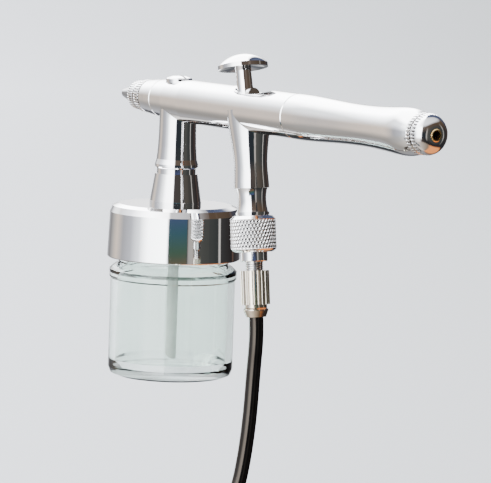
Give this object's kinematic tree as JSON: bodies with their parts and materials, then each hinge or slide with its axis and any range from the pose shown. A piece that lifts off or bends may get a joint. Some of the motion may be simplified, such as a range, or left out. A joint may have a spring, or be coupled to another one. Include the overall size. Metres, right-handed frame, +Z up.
{
  "type": "airbrush",
  "caption": "Double-action siphon airbrush with a top trigger, a capped glass colour jar, a tapered handle and a coiled air hose.",
  "frame": {"origin": "centre of the colour jar's base, where a bottle holder carries it", "axes": "+Z up along the jar's axis; X along the barrel, nozzle towards -X and handle towards +X"},
  "size_m": [0.1527, 0.0791, 0.1495],
  "materials": {
    "chrome": "polished",
    "brass": "machined",
    "steel": "ground",
    "nickel": "warm nickel plating",
    "glass": "clear, moulded",
    "white_plastic": "natural, satin",
    "black_rubber": "satin",
    "hose_black": "glossy, flexible",
    "tie_black": "hook and loop strap"
  },
  "bodies": {
    "jar": {"glass_jar": "glass"},
    "cap": {"jar_cap": "chrome", "cap_gasket": "white_plastic", "cap_stem": "chrome", "stem_lock_nut": "brass", "siphon_tube": "white_plastic"},
    "gun": {"gun_body": "chrome", "nozzle_seat": "brass", "nozzle": "brass", "needle_packing": "white_plastic", "packing_screw": "brass", "valve_o_ring": "black_rubber", "valve_spring": "steel", "needle_spring": "steel", "spring_case": "brass", "air_fitting": "chrome", "hose_nipple": "chrome", "hose_ferrule": "nickel", "hose": "hose_black", "hose_coil": "hose_black", "hose_tail": "hose_black", "coil_tie": "tie_black", "hose_connector": "nickel"},
    "plug": {"top_plug": "chrome"},
    "front_cap": {"nozzle_cap": "chrome"},
    "crown": {"needle_cap": "chrome"},
    "valve": {"valve_piston": "brass"},
    "trigger": {"trigger": "chrome"},
    "needle_group": {"needle": "steel", "needle_tube": "brass", "back_lever": "chrome"},
    "chuck": {"chuck_nut": "brass"},
    "handle": {"handle": "chrome"},
    "knob": {"tail_knob": "chrome", "tail_bush": "brass"},
    "union_nut": {"hose_nut": "chrome"},
    "clamp_nut": {"fluted_nut": "nickel"}
  },
  "joints": [
    {"name": "cap_turn", "type": "hinge", "parent": "jar", "child": "cap", "pos_m": [0, 0, 0.04], "axis": [0, 0, 1], "continuous": true},
    {"name": "gun_swivel", "type": "hinge", "parent": "cap", "child": "gun", "pos_m": [0, 0, 0.064], "axis": [0, 0, 1], "continuous": true},
    {"name": "plug_turn", "type": "hinge", "parent": "gun", "child": "plug", "pos_m": [0, 0, 0.0823], "axis": [0, 0, 1], "continuous": true},
    {"name": "front_cap_turn", "type": "hinge", "parent": "gun", "child": "front_cap", "pos_m": [-0.01, 0, 0.078], "axis": [1, 0, 0], "continuous": true},
    {"name": "crown_turn", "type": "hinge", "parent": "front_cap", "child": "crown", "pos_m": [-0.02, 0, 0.078], "axis": [1, 0, 0], "continuous": true},
    {"name": "valve_press", "type": "slide", "parent": "gun", "child": "valve", "axis": [0.1288, 0, -0.9917], "range_m": [0, 0.002], "stiffness_N_per_m": 900, "springref_m": -0.0015, "deforming": ["valve_spring"]},
    {"name": "trigger_rock", "type": "hinge", "parent": "valve", "child": "trigger", "pos_m": [0.0376, 0, 0.06957], "axis": [0, 1, 0], "range_deg": [0, 20]},
    {"name": "needle_slide", "type": "slide", "parent": "gun", "child": "needle_group", "axis": [1, 0, 0], "range_m": [0, 0.00509], "stiffness_N_per_m": 120, "springref_m": -0.004, "deforming": ["needle_spring"]},
    {"name": "chuck_turn", "type": "hinge", "parent": "needle_group", "child": "chuck", "pos_m": [0.082, 0, 0.078], "axis": [1, 0, 0], "continuous": true},
    {"name": "handle_turn", "type": "hinge", "parent": "gun", "child": "handle", "pos_m": [0.066, 0, 0.078], "axis": [1, 0, 0], "continuous": true},
    {"name": "knob_turn", "type": "hinge", "parent": "handle", "child": "knob", "pos_m": [0.114, 0, 0.078], "axis": [1, 0, 0], "continuous": true},
    {"name": "union_nut_turn", "type": "hinge", "parent": "gun", "child": "union_nut", "pos_m": [0.04088, 0, 0.04428], "axis": [0.1288, 0, -0.9917], "continuous": true},
    {"name": "clamp_nut_turn", "type": "hinge", "parent": "gun", "child": "clamp_nut", "pos_m": [0.04268, 0, 0.0304], "axis": [0.1288, 0, -0.9917], "continuous": true}
  ],
  "couplings": [
    {"joint": "trigger_rock", "follows": "needle_slide", "rad_per_m": 68.5}
  ]
}
